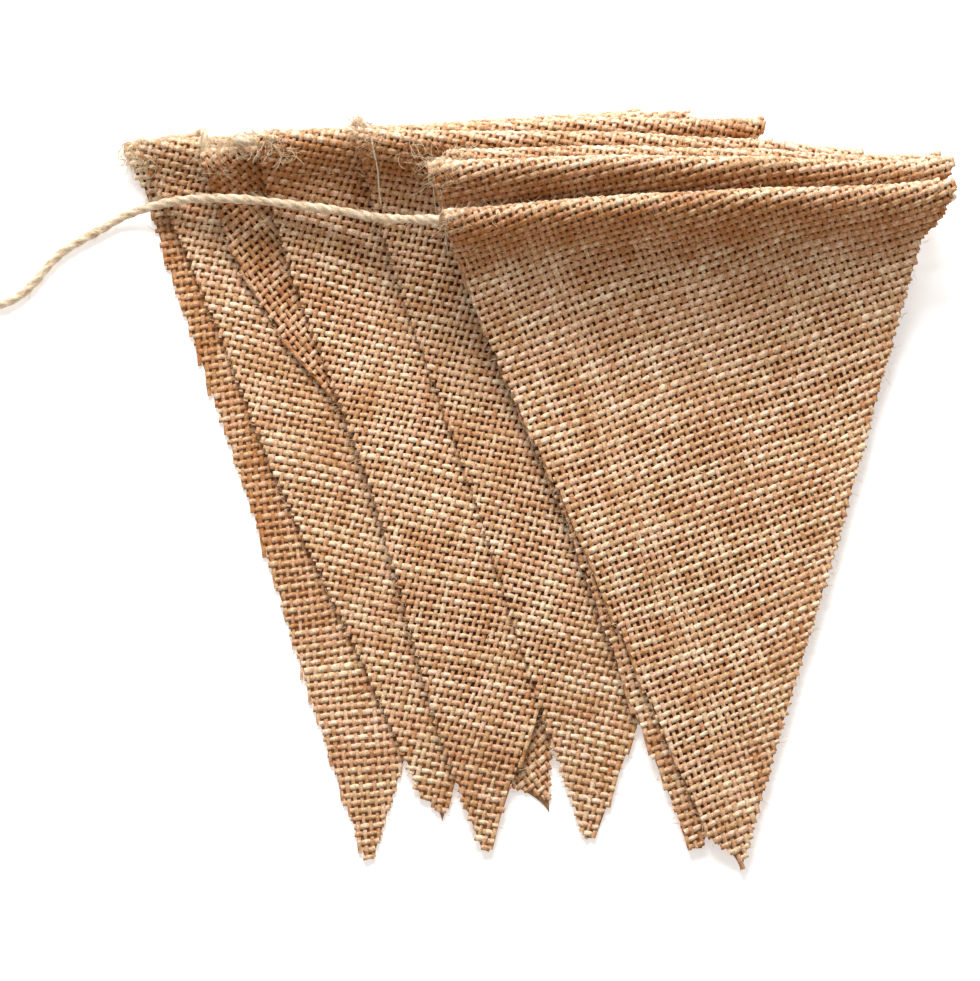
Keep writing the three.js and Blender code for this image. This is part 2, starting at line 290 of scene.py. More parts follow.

# Pennants from the lowest to the top one, in the same words as in the solids' own table. grain is how far
# the threads across the cloth rise to the right, in degrees, shade is how much painted shade darkens it
# right below the hem (painted light where negative), and dusk how much painted shade darkens the upper part
# of its face.
pennantColumns = ("left", "right", "apex", "cut", "flare", "sway", "short", "grain", "shade", "dusk")
pennants = [
    ((-130.2, 113.5), (26.7, 118), (-51.2, -120), (5, 5), (2, 2), 0.5, (0, 0), 7, -0.45, 0.24),
    ((-126.5, 111.5), (34, 122), (-30.5, -110), (15, 6), (1, 2), -1.0, (13, 6), -13, 0.05, 0),
    ((-105, 106.5), (50, 121), (5, -108), (16, 7), (1, 2), 6.0, (4.5, 0), 37, 0.6, 0.18),
    ((-88, 110.5), (73, 117), (-15.2, -117.5), (5, 5), (0, 2), 1.5, (0, 6), -13, 0.55, 0),
    ((-56.5, 108.5), (104, 108.7), (16.6, -114), (5, 5), (0, 2), 0.5, (5, 0), -13, 0.55, 0),
    ((-28.2, 101), (128, 105.3), (52.4, -108), (5, 5), (1, 2), 0.6, (0, 6), -8, 0.36, 0),
    ((-34.4, 95.3), (131.5, 101.6), (49.5, -117.5), (5, 5), (1, 4), 0.8, (6, 10), 16, 0.36, 0),
    ((-29.8, 80.8), (131.5, 93.6), (61, -127), (18, 7), (0, 6), 0.4, (0, 6), 21, 0.46, 0),
]


def smoothStep(x):
    x = np.clip(x, 0, 1)
    return x * x * (3 - 2 * x)


# One pennant as it lies: flat places on the cloth (across, along) become points in space. along is 0 where
# the face leaves the fold, grows to the tip, and is negative round the fold and on the turned edge.
class LaidPennant:
    def __init__(self, row, node):
        self.row = row
        left, right, apex = (np.array(row[k], float) for k in ("left", "right", "apex"))
        self.middle = (left + right) / 2
        self.width = np.linalg.norm(right - left)
        self.length = np.linalg.norm(apex - self.middle)
        self.across = (right - left) / self.width
        self.down = (apex - self.middle) / self.length
        self.roll = cloth["hemRound"] * math.pi
        self.turned = cloth["hemDepth"] - cloth["turnedBack"] - cloth["hemRound"]
        self.sampleHeights(node)

    def halfWidth(self, side, down):
        flare = np.where(side < 0, self.row["flare"][0], self.row["flare"][1])
        straight = (self.width / 2 - flare) * (1 - down / self.length)
        bend = self.row["sway"] * np.sin(3 * math.pi * down / self.length)
        round_ = np.sqrt(np.clip(1 - np.minimum(down / cloth["hemDepth"], 1) ** 2, 0, 1))
        return straight - side * bend + flare * round_

    def place(self, across, down):
        return self.middle + across[..., None] * self.across + down[..., None] * self.down

    # The solid's own heights on a grid, smoothed on the face, where the solid has wide flat facets.
    def sampleHeights(self, node):
        vertices = [v.co for v in node.data.vertices]
        tree = BVHTree.FromPolygons(vertices, [p.vertices for p in node.data.polygons])
        self.step = sampling["step"]
        self.edge = self.width / 2 + sampling["margin"]
        acrossAt = np.arange(-self.edge, self.edge + 0.1, self.step[0])
        downAt = np.arange(0, self.length + sampling["margin"], self.step[1])
        a, d = np.meshgrid(acrossAt, downAt)
        xy = self.place(a, d) * mm
        top, low = np.full((2, *a.shape), np.nan)
        up = Vector((0, 0, 1))
        lastTurned = cloth["hemDepth"] - cloth["turnedBack"] - 1
        for r, c in np.ndindex(a.shape):
            x, y = xy[r, c]
            hit = tree.ray_cast(Vector((x, y, 1)), -up)[0]
            if hit is None:
                continue
            top[r, c] = hit.z / mm - cloth["thick"] / 2
            if downAt[r] < lastTurned:
                low[r, c] = tree.ray_cast(Vector((x, y, -1)), up)[0].z / mm + cloth["thick"] / 2
        top = fillIn(top)
        low = fillIn(low[: int(lastTurned / self.step[1]) + 1])
        soft = blur(top, sampling["faceBlur"])
        start = cloth["hemDepth"] + sampling["blendFrom"]
        share = smoothStep((downAt - start) / sampling["blendOver"])[:, None]
        w = cloth["rumpleLengths"]
        waves = np.sin(a / w[0] + d / w[1] + self.width) * np.sin(d / w[2] - a / w[3])
        waves += np.sin(a / w[4] - d / w[5])
        hem = blur(top, sampling["hemBlur"])
        self.top = hem * (1 - share) + (soft + cloth["rumple"] * waves / 2) * share
        self.low = blur(low, sampling["hemBlur"])
        self.measureSlope()

    # Plan distances from the fold and the longer distances along the cloth, which falls from the hem.
    def measureSlope(self):
        acrossAt = np.linspace(-0.3, 0.3, 9) * self.width
        self.planAt = np.arange(0, self.length - cloth["hemRound"] + sampling["margin"], 1.0)
        down = (self.planAt + cloth["hemRound"])[:, None] * np.ones(9)
        fall = np.diff(self.heightOf(self.top, acrossAt * np.ones_like(down), down), axis=0)
        steps = np.sqrt(1 + fall ** 2).mean(axis=1)
        self.clothAt = np.concatenate([[0], np.cumsum(steps)])

    def alongOf(self, plan):
        return np.where(plan > 0, np.interp(plan, self.planAt, self.clothAt), plan)

    def heightOf(self, field, across, down):
        i = np.clip((across + self.edge) / self.step[0], 0, field.shape[1] - 1.001)
        j = np.clip(down / self.step[1], 0, field.shape[0] - 1.001)
        i0, j0 = i.astype(int), j.astype(int)
        u, v = i - i0, j - j0
        low = field[j0, i0] * (1 - u) + field[j0, i0 + 1] * u
        high = field[j0 + 1, i0] * (1 - u) + field[j0 + 1, i0 + 1] * u
        return low * (1 - v) + high * v

    def downOf(self, along):
        r = cloth["hemRound"]
        angle = math.pi / 2 + np.clip(along, -self.roll, 0) / r
        onRoll = r * (1 - np.cos(angle))
        onTurned = r - self.roll - along
        onFace = r + np.interp(along, self.clothAt, self.planAt)
        return np.where(along >= 0, onFace, np.where(along >= -self.roll, onRoll, onTurned))

    # out is the distance from the middle of the cloth, on its outer side.
    def pointsAt(self, across, along, out=0.0):
        r = cloth["hemRound"]
        angle = math.pi / 2 + np.clip(along, -self.roll, 0) / r
        round_ = (along < 0) & (along > -self.roll)
        down = self.downOf(along) - np.where(round_, out * np.cos(angle), 0)
        atRound = np.full_like(along, r)
        high = self.heightOf(self.top, across, atRound)
        low = self.heightOf(self.low, across, atRound)
        z = (high + low) / 2 + ((high - low) / 2 + out) * np.sin(angle)
        z = np.where(along >= 0, self.heightOf(self.top, across, down) + out, z)
        z = np.where(along <= -self.roll, self.heightOf(self.low, across, down) - out, z)
        return np.concatenate([self.place(across, down), z[..., None]], axis=-1)

    # How far inside this pennant's outline a point on the surface is.
    def coverOf(self, xy):
        basis = np.array([self.across, self.down]).T
        across, down = np.linalg.solve(basis, (xy - self.middle).T)
        side = np.where(across < 0, -1.0, 1.0)
        wide = self.halfWidth(side, np.clip(down, 0, None)) - np.abs(across)
        tip = self.length - max(self.row["cut"]) - down
        return np.minimum.reduce([wide, tip, down])

    # How far inside the cut edges a flat place is: negative outside.
    def insideBy(self, across, along):
        r = cloth["hemRound"]
        side = np.where(across < 0, -1.0, 1.0)
        down = self.downOf(along)
        wide = self.halfWidth(side, np.maximum(down, r))
        onTurned = smoothStep((-self.roll - along) / self.turned)
        short = np.where(side < 0, self.row["short"][0], self.row["short"][1])
        wide = wide - np.where(along < -self.roll * 0.45, short + cloth["turnedCorner"] * onTurned, 0)
        atDown = np.maximum(np.abs(wide), 0.01)
        share = np.clip(across / atDown, -1, 1) / 2 + 0.5
        tip = self.length - (self.row["cut"][0] * (1 - share) + self.row["cut"][1] * share)
        fromTip = np.where(along > 0, tip - down, 99)
        fromTurned = along + self.roll + self.turned
        return np.minimum.reduce([wide - np.abs(across), fromTip, fromTurned])


def fillIn(field):
    field = field.copy()
    while np.isnan(field).any():
        padded = np.pad(field, 1, constant_values=np.nan)
        beside = np.stack([padded[:-2, 1:-1], padded[2:, 1:-1], padded[1:-1, :-2], padded[1:-1, 2:]])
        count = (~np.isnan(beside)).sum(0)
        empty = np.isnan(field) & (count > 0)
        field[empty] = np.nansum(beside, axis=0)[empty] / count[empty]
    return field


# A blur by the given spreads, in grid steps across and down.
def blur(field, spreads):
    for axis, spread in ((1, spreads[0]), (0, spreads[1])):
        if spread <= 0:
            continue
        reach = int(3 * spread)
        weights = np.exp(-((np.arange(-reach, reach + 1) / spread) ** 2) / 2)
        weights /= weights.sum()
        pad = [(reach, reach) if k == axis else (0, 0) for k in (0, 1)]
        wide = np.pad(field, pad, mode="edge")
        field = np.apply_along_axis(lambda line: np.convolve(line, weights, "valid"), axis, wide)
    return field


laid = [LaidPennant(dict(zip(pennantColumns, row)), frame["nodes"][f"pennant_{n + 1}"])
        for n, row in enumerate(pennants)]
print("pennants laid")


def meshObject(name, points, edges=(), faces=()):
    mesh = bpy.data.meshes.new(name)
    mesh.from_pydata((np.asarray(points) * mm).tolist(), list(edges), list(faces))
    made = bpy.data.objects.new(name, mesh)
    bpy.context.collection.objects.link(made)
    return made


def addAttribute(made, name, values, kind="FLOAT"):
    attribute = made.data.attributes.new(name, kind, "POINT")
    key = "vector" if kind == "FLOAT_VECTOR" else "value"
    attribute.data.foreach_set(key, np.asarray(values, float).ravel())


# Keeps the mesh that comes out of an object's modifier, without the modifier.
def settle(made, modifier):
    evaluated = made.evaluated_get(bpy.context.evaluated_depsgraph_get())
    mesh = bpy.data.meshes.new_from_object(evaluated)
    made.modifiers.remove(modifier)
    made.data = mesh
    return made


# Runs a Geometry Nodes tree on an object.
def runNodes(made, group, inputs):
    modifier = made.modifiers.new("nodes", "NODES")
    modifier.node_group = group
    for item in group.interface.items_tree:
        if item.item_type == "SOCKET" and item.name in inputs:
            modifier[item.identifier] = inputs[item.name]
    return settle(made, modifier)


def circle(tree, sides):
    sockets = {"Resolution": sides, "Radius": mm}
    return tree.node("GeometryNodeCurvePrimitiveCircle", {"mode": "RADIUS"}, sockets)


def newGroup(name, inputs):
    group = bpy.data.node_groups.new(name, "GeometryNodeTree")
    group.interface.new_socket("Geometry", in_out="INPUT", socket_type="NodeSocketGeometry")
    for socketName, kind, value in inputs:
        made = group.interface.new_socket(socketName, in_out="INPUT", socket_type=kind)
        if value is not None:
            made.default_value = value
    group.interface.new_socket("Geometry", in_out="OUTPUT", socket_type="NodeSocketGeometry")
    tree = Tree(group)
    start = group.nodes.new("NodeGroupInput")
    wires = {socket.name: Wire(tree, socket) for socket in start.outputs if socket.name}
    return group, tree, wires


def named(tree, name, kind="FLOAT"):
    return tree.node("GeometryNodeInputNamedAttribute", {"data_type": kind}, {"Name": name})


# The last nodes of a group: the section swept along the paths, as thick as their points say.
def closeGroup(group, tree, paths, ring, material):
    sockets = {"Curve": paths, "Profile Curve": ring, "Scale": named(tree, "thick"), "Fill Caps": True}
    made = tree.node("GeometryNodeCurveToMesh", {}, sockets)
    made = tree.node("GeometryNodeRealizeInstances", {}, {0: made})
    made = tree.node("GeometryNodeSetShadeSmooth", {}, {0: made})
    made = tree.node("GeometryNodeSetMaterial", {}, {"Geometry": made, "Material": material})
    end = group.nodes.new("NodeGroupOutput")
    group.links.new(made.socket, end.inputs[0])


# Threads along the edges of a mesh, whose points say how thick they are and which way the cloth faces.
def threadNodes():
    group, tree, wires = newGroup("threadsOnPaths", [
        ("Sides", "NodeSocketInt", 4),
        ("Width", "NodeSocketFloat", 1.0),
        ("Height", "NodeSocketFloat", 1.0),
        ("Turn", "NodeSocketFloat", 0.0),
        ("Material", "NodeSocketMaterial", None),
    ])
    paths = tree.node("GeometryNodeMeshToCurve", {}, {"Mesh": wires["Geometry"]})
    sockets = {"Curve": paths, "Normal": named(tree, "facing", "FLOAT_VECTOR")}
    paths = tree.node("GeometryNodeSetCurveNormal", {"mode": "FREE"}, sockets)
    ring = circle(tree, wires["Sides"])
    turn = tree.node("ShaderNodeCombineXYZ", {}, {2: wires["Turn"]})
    ring = tree.node("GeometryNodeTransform", {}, {"Geometry": ring, "Rotation": turn})
    size = tree.node("ShaderNodeCombineXYZ", {}, {0: wires["Height"], 1: wires["Width"], 2: 1.0})
    ring = tree.node("GeometryNodeTransform", {}, {"Geometry": ring, "Scale": size})
    closeGroup(group, tree, paths, ring, wires["Material"])
    return group


threads = threadNodes()


# Lines of points that become threads, with what each point says about its thread.
class Lines:
    def __init__(self):
        self.points, self.edges, self.thick, self.tone, self.tint, self.facing = [], [], [], [], [], []
        self.count = 0

    def add(self, points, thick, tone, tint, facing):
        n = len(points)
        self.points.append(points)
        self.edges.append(np.stack([np.arange(n - 1), np.arange(1, n)], 1) + self.count)
        for values, value in ((self.thick, thick), (self.tone, tone), (self.tint, tint)):
            values.append(np.broadcast_to(value, n))
        self.facing.append(np.broadcast_to(facing, (n, 3)))
        self.count += n

    def make(self, name, sides, material, width=1.0, height=1.0, turn=0.0):
        made = meshObject(name, np.concatenate(self.points), np.concatenate(self.edges).tolist())
        for key in ("thick", "tone", "tint"):
            addAttribute(made, key, np.concatenate(getattr(self, key)))
        addAttribute(made, "facing", np.concatenate(self.facing), "FLOAT_VECTOR")
        inputs = {"Sides": sides, "Width": width, "Height": height, "Turn": turn, "Material": material}
        return runNodes(made, threads, inputs)


# The weave: its threads across (weft) and down (warp) the cloth, with half their widths. The lengths are
# those of the slow waves in which threads drift, swell and change their tone and tint.
weave = {
    "perCrossing": 3,
    # The weft's and warp's tones are painted light: the warp is painted darker, as the light meets it less
    # than the weft.
    "weft": {"pitch": 2.53, "wide": 0.74, "slant": 0.13, "tone": 0.02},
    "warp": {"pitch": 2.1, "wide": 0.60, "slant": 0.03, "tone": -0.19},
    "high": 0.42,
    "wave": 0.30,
    "out": 0.16,
    "jitter": 0.10,
    "driftLengths": (19, 43),
    "uneven": 0.10,
    "swell": 0.17,
    "swellLengths": (5, 13, 31),
    "swellLimits": (0.62, 1.5),
    "bow": 0.7,
    "bowLength": 70,
    "shortestRun": 3,
    "fray": (0.75, 0.3),
    "underCover": 7,
    "ownTone": (0.3, 0.7),
    "toneWave": 0.2,
    "toneLengths": (5, 23),
    "ownTint": (0.2, 0.8),
    "tintWave": 0.35,
    "tintLengths": (11, 37),
    # Painted light in the threads' tone: a painted highlight on the fold, and painted shade below the hem
    # and on the upper face over the lengths that follow.
    "paintedFoldHighlight": 0.22,
    "shadeOver": 20,
    "duskFrom": (18, 14),
    "duskTo": (110, 70),
    # Painted highlight where a thread lies over a crossing, painted shade where it passes under.
    "paintedCrestShading": 0.18,
    "lowest": 0.45,
    "seed": 11,
}


def anyTurn(draw, count=None):
    return draw.uniform(0, 6.28, count)


# A few slow waves of random phase, for what varies along a thread.
def slowWaves(draw, places, lengths, depth):
    total = np.zeros_like(places)
    for length in lengths:
        total += np.sin(math.tau * places / (length * draw.uniform(0.8, 1.25)) + anyTurn(draw))
    return depth * total / len(lengths)


# Which flat places of a pennant's face lie well under the pennants that are laid on it.
def hiddenAt(number, flat):
    pennant = laid[number]
    xy = pennant.place(flat[:, 0], pennant.downOf(flat[:, 1]))
    hidden = np.zeros(len(flat), bool)
    for above in laid[number + 1:]:
        hidden |= above.coverOf(xy) > weave["underCover"]
    return hidden & (flat[:, 1] > cloth["hemDepth"] + 3)


# The cloth's outer side: up on the face, out round the fold, down on the turned edge.
def outward(pennant, flat):
    ahead = 0.4
    place = pennant.pointsAt(flat[:, 0], flat[:, 1])
    aside = pennant.pointsAt(flat[:, 0] + ahead, flat[:, 1]) - place
    along = pennant.pointsAt(flat[:, 0], flat[:, 1] + ahead) - place
    out = np.cross(aside, along)
    out /= np.linalg.norm(out, axis=1)[:, None]
    angle = math.pi / 2 + np.clip(flat[:, 1], -pennant.roll, 0) / cloth["hemRound"]
    want = np.stack([-pennant.down[0] * np.cos(angle), -pennant.down[1] * np.cos(angle), np.sin(angle)], 1)
    sign = np.sign((out * want).sum(1))
    return out * np.where(sign == 0, 1, sign)[:, None]


# Painted light on the cloth: painted shade below the fold and on the upper face, and a painted highlight on
# the fold.
def paintedHemShading(pennant, along):
    # Painted shade right below the hem.
    below = smoothStep(along / 3)
    below *= 1 - smoothStep((along - cloth["hemDepth"] * 0.6) / weave["shadeOver"])
    # Painted highlight on the fold, which faces the light.
    fold = smoothStep((along + pennant.roll) / 3) * (1 - smoothStep((along + 1.5) / 2.5))
    (start, growth), (end, fade) = weave["duskFrom"], weave["duskTo"]
    # Painted shade on the upper face.
    upper = smoothStep((along - start) / growth) * (1 - smoothStep((along - end) / fade))
    return weave["paintedFoldHighlight"] * fold - pennant.row["shade"] * below - pennant.row["dusk"] * upper


# All the threads of one pennant, each over and under those that cross it.
def threadLines(number, draw):
    pennant = laid[number]
    angle = math.radians(pennant.row["grain"])
    rowWay = np.array([math.cos(angle), math.sin(angle)])
    weftWay = np.linalg.solve(np.array([pennant.across, pennant.down]).T, rowWay)
    weftWay /= np.linalg.norm(weftWay)
    warpWay = np.array([-weftWay[1], weftWay[0]]) * np.sign(weftWay[0])
    centre = np.array([0, pennant.length / 3])
    reach = pennant.length * 0.9
    bowTurn = anyTurn(draw, 4)
    pace = math.tau / weave["bowLength"]

    def bowed(flat):
        x, y = flat[:, 0] * pace, flat[:, 1] * pace
        across = np.sin(y + bowTurn[0]) * np.sin(x * 0.7 + bowTurn[1])
        along = np.sin(x + bowTurn[2]) * np.sin(y * 0.6 + bowTurn[3])
        return flat + weave["bow"] * np.stack([across, along], 1)

    lines = Lines()
    weft, warp = weave["weft"], weave["warp"]
    families = (weftWay, warpWay, weft, warp, 1), (warpWay, weftWay, warp, weft, -1)
    for way, sideWay, own, other, over in families:
        pitch, crossPitch = own["pitch"], other["pitch"]
        step = crossPitch / weave["perCrossing"]
        last = int(reach / pitch)
        stations = np.arange(-int(reach / step), int(reach / step) + 1) * step
        for line in range(-last, last + 1):
            drift = draw.normal(0, weave["jitter"]) * 0.6
            drift = drift + slowWaves(draw, stations, weave["driftLengths"], weave["jitter"])
            # The warp's darker tone is painted shade.
            ownTone = draw.uniform(*weave["ownTone"]) + own["tone"]
            ownTint = draw.uniform(*weave["ownTint"])
            swell = draw.normal(1, weave["uneven"])
            swell = swell + slowWaves(draw, stations, weave["swellLengths"], weave["swell"])
            shade = ownTone + slowWaves(draw, stations, weave["toneLengths"], weave["toneWave"])
            tint = ownTint + slowWaves(draw, stations, weave["tintLengths"], weave["tintWave"])
            frayed = draw.uniform(-0.3, weave["fray"])
            phase = math.pi * (stations / crossPitch + line)
            aside = line * pitch + drift - over * own["slant"] * np.sin(phase)
            flat = bowed(centre + stations[:, None] * way + aside[:, None] * sideWay)
            depth = pennant.insideBy(flat[:, 0], flat[:, 1])
            shown = (depth > -np.where(flat[:, 0] < 0, frayed[0], frayed[1])) & ~hiddenAt(number, flat)
            # Painted shade below the hem and on the upper face, and a painted highlight on the fold.
            shade = shade + paintedHemShading(pennant, flat[:, 1])
            inside = np.flatnonzero(shown)
            for run in np.split(inside, np.flatnonzero(np.diff(inside) > 1) + 1):
                if len(run) < weave["shortestRun"]:
                    continue
                at = flat[run]
                crest = over * np.cos(phase[run])
                rise = weave["out"] + weave["wave"] * crest
                place = pennant.pointsAt(at[:, 0], at[:, 1], rise)
                place[:, 2] = np.maximum(place[:, 2], weave["lowest"])
                thick = own["wide"] * np.clip(swell[run], *weave["swellLimits"])
                # Painted highlight where the thread lies over, painted shade where it passes under.
                tone = shade[run] + weave["paintedCrestShading"] * crest
                lines.add(place, thick, tone, tint[run], outward(pennant, at))
    return lines


def makeWeave(number, name):
    draw = np.random.default_rng(weave["seed"] + number)
    lines = threadLines(number, draw)
    flatTop = math.sqrt(2)
    high = flatTop * weave["high"] / weave["weft"]["wide"]
    return lines.make(name, 4, yarnJute, flatTop, high, math.pi / 4)


ground = {
    "columns": 30,
    "inset": 0.6,
    "thick": 0.2,
    "out": -0.36,
    "faceStep": 4.5,
    "hemStep": 1.3,
    "turnedRows": 7,
    "foldRows": 12,
    # How many layers below give the darkest painted shade, and the painted shade on the hem.
    "fullLayers": 1.6,
    "onHem": 0.72,
}


# The closed ground of the cloth behind its threads, as one thin sheet round the hem, whose colour is
# painted shade.
def makeGround(number, name):
    pennant = laid[number]
    columns = ground["columns"]
    inset = ground["inset"]
    end = pennant.roll + pennant.turned
    hemEnd = cloth["hemDepth"] + cloth["hemFall"] - cloth["hemRound"]
    low = np.linspace(-end + inset, -pennant.roll, ground["turnedRows"] + 1)[:-1]
    roll = np.linspace(-pennant.roll, 0, ground["foldRows"] + 1)[:-1]
    hem = np.arange(0, hemEnd, ground["hemStep"])
    faceLength = pennant.length - cloth["hemRound"]
    faceRows = int((faceLength - hemEnd) / ground["faceStep"])
    share = np.linspace(0, 1, columns + 1)
    leftCut, rightCut = pennant.row["cut"]
    tip = faceLength - (leftCut * (1 - share) + rightCut * share) - inset
    rows = [np.full(columns + 1, along) for along in np.concatenate([low, roll, hem])]
    rows += [hemEnd + (tip - hemEnd) * k / faceRows for k in range(faceRows + 1)]
    alongAt = pennant.alongOf(np.array(rows))
    down = np.maximum(pennant.downOf(alongAt), cloth["hemRound"])
    onTurned = smoothStep((-pennant.roll - alongAt) / pennant.turned) * cloth["turnedCorner"]
    back = alongAt < -pennant.roll * 0.45
    left, right = (pennant.halfWidth(side, down) - inset - onTurned - np.where(back, short, 0)
                   for side, short in zip((-1.0, 1.0), pennant.row["short"]))
    acrossAt = -left + (left + right) * share
    points = pennant.pointsAt(acrossAt, alongAt, ground["out"]).reshape(-1, 3)
    wide = columns + 1
    faces = [(r * wide + c, (r + 1) * wide + c, (r + 1) * wide + c + 1, r * wide + c + 1)
             for r in range(len(rows) - 1) for c in range(columns)]
    made = meshObject(name, points, faces=faces)
    layers = np.zeros(len(points))
    # Painted shade: darker the more pennants lie below, with a fixed painted shade on the hem.
    for below in laid[:number]:
        layers += smoothStep(below.coverOf(points[:, :2]) / 3 + 0.5)
    onHem = 1 - smoothStep((alongAt.ravel() - cloth["hemDepth"]) / 6)
    layers = np.clip(layers / ground["fullLayers"], 0, 1)
    addAttribute(made, "deep", layers * (1 - onHem) + ground["onHem"] * onHem)
    made.data.materials.append(holeShadeSheet)
    solid = made.modifiers.new("thick", "SOLIDIFY")
    solid.thickness = ground["thick"] * mm
    solid.offset = 0
    settle(made, solid)
    made.data.polygons.foreach_set("use_smooth", [True] * len(made.data.polygons))
    return made


for number, pennant in enumerate(laid):
    woven = makeWeave(number, f"weave_{number + 1}")
    sheet = makeGround(number, f"cloth_{number + 1}")
    for piece in (woven, sheet):
        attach(piece, "root")
    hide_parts(f"pennant_{number + 1}")
    print(f"pennant {number + 1} woven")


def between(t, start, stop, a, b):
    return (stop - t) / (stop - start) * a + (t - start) / (stop - start) * b


# A smooth line through points, cut at equal steps.
def smoothLine(points, step):
    p = np.array(points, float)
    p = np.vstack([2 * p[0] - p[1], p, 2 * p[-1] - p[-2]])
    line = []
    for k in range(1, len(p) - 2):
        near = p[k - 1:k + 3]
        gaps = np.linalg.norm(np.diff(near, axis=0), axis=1)
        knots = np.concatenate([[0], np.cumsum(np.maximum(gaps, 1e-6) ** 0.5)])
        t = np.linspace(knots[1], knots[2], 12, endpoint=False)[:, None]
        first = [between(t, knots[n], knots[n + 1], near[n], near[n + 1]) for n in range(3)]
        second = [between(t, knots[n], knots[n + 2], first[n], first[n + 1]) for n in range(2)]
        line.append(between(t, knots[1], knots[2], *second))
    line = np.vstack(line + [p[-2]])
    lengths = np.concatenate([[0], np.cumsum(np.linalg.norm(np.diff(line, axis=0), axis=1))])
    even = np.linspace(0, lengths[-1], max(int(lengths[-1] / step), 2) + 1)
    return np.stack([np.interp(even, lengths, line[:, k]) for k in range(3)], 1), even


# Loose fibres on each pennant's face, at its cut sides, on its fold and at its hem's left end: how many,
# their share of the drawn length, and how far their ends lift.
fibres = {
    "face": {"count": 130, "length": 1.0, "lift": (0.1, 1.0)},
    "sides": {"count": 70, "length": 0.5, "lift": (-0.3, 0.5)},
    "fold": {"count": 150, "length": 0.6, "lift": (0.4, 2.4)},
    "end": {"count": 60, "length": 1.1, "lift": (0.3, 3.0)},
    "length": (1.5, 6.5),
    "wide": (0.06, 0.13),
    "tone": (0.2, 0.9),
    "tuftTone": (0.2, 1.0),
    "tint": (0.2, 0.8),
    "bend": 0.9,
    "out": 0.55,
    "taper": 0.5,
    "lowest": 0.2,
    "seed": 23,
}
upward = (0, 0, 1)


# One fibre: a curved line that starts on the cloth and lifts from it.
def addFibre(lines, draw, pennant, start, way, length, lift):
    steps = 5
    along = np.linspace(0, 1, steps)
    turn = way + draw.normal(0, fibres["bend"]) * along
    move = length / (steps - 1)
    flat = np.array(start) + np.cumsum(np.stack([np.cos(turn), np.sin(turn)], 1) * move, axis=0)
    place = pennant.pointsAt(flat[:, 0], flat[:, 1], fibres["out"] + lift * along ** 1.4)
    place[:, 2] = np.maximum(place[:, 2], fibres["lowest"])
    wide = draw.uniform(*fibres["wide"]) * (1 - fibres["taper"] * along)
    tone = draw.uniform(*fibres["tone"])
    lines.add(place, wide, tone, draw.uniform(*fibres["tint"]), upward)


def scatterFibres(lines, number, draw):
    pennant = laid[number]

    def lay(kind, start, way):
        length = draw.uniform(*fibres["length"]) * fibres[kind]["length"]
        addFibre(lines, draw, pennant, start, way, length, draw.uniform(*fibres[kind]["lift"]))

    for _ in range(fibres["face"]["count"]):
        start = np.array([draw.uniform(-0.5, 0.5) * pennant.width, draw.uniform(0, pennant.length)])
        if pennant.insideBy(start[:1], start[1:])[0] < 1 or hiddenAt(number, start[None])[0]:
            continue
        lay("face", start, anyTurn(draw))
    for side in (-1.0, 1.0):
        for down in draw.uniform(0, pennant.length - 8, fibres["sides"]["count"]):
            wide = float(pennant.halfWidth(side, down)) - 0.3
            start = np.array([side * wide, float(pennant.alongOf(down - cloth["hemRound"]))])
            if hiddenAt(number, start[None])[0]:
                continue
            lay("sides", start, draw.normal(0, 0.8) + (math.pi if side < 0 else 0))
    for across in draw.uniform(-0.49, 0.49, fibres["fold"]["count"]) * pennant.width:
        start = np.array([across, -draw.uniform(0.1, 0.6) * pennant.roll])
        lay("fold", start, anyTurn(draw))
    for inward in draw.uniform(0, 7, fibres["end"]["count"]):
        left = -float(pennant.halfWidth(-1.0, cloth["hemRound"])) + inward
        start = np.array([left, draw.uniform(-0.55, 0.6) * pennant.roll])
        lay("end", start, anyTurn(draw))


# Frayed tufts where the twine leaves a hem's end: the middle of each, its reach and how many fibres it has.
tufts = [
    ((-102.5, 109, 16.3), (4, 3, 1), 90),
    ((-93, 108, 21.5), (4, 2.5, 1.5), 90),
    ((-54, 109.5, 30.5), (2.4, 3.2, 1), 110),
    ((-128, 109, 6), (1.5, 4, 1.5), 50),
    ((-31.5, 95, 39), (1.6, 4, 1.5), 50),
    ((-81, 105, 26.8), (6, 3.5, 0.3), 60),
    ((-38, 101.5, 34.6), (4, 4, 0.5), 25),
]


def addTuft(lines, middle, reach, count, draw):
    along = np.linspace(0, 1, 6)
    for _ in range(count):
        start = np.array(middle) + draw.uniform(-1, 1, 3) * reach
        turn = anyTurn(draw) + draw.normal(0, 1.3) * along
        move = draw.uniform(0.3, 1.0)
        path = np.stack([np.cos(turn), np.sin(turn), draw.normal(0, 0.2) * np.ones(6)], 1) * move
        path = start + np.cumsum(path, axis=0)
        path[:, 2] = np.maximum(path[:, 2], fibres["lowest"])
        wide, tone, tint = (draw.uniform(*fibres[key]) for key in ("wide", "tuftTone", "tint"))
        lines.add(path, wide, tone, tint, upward)


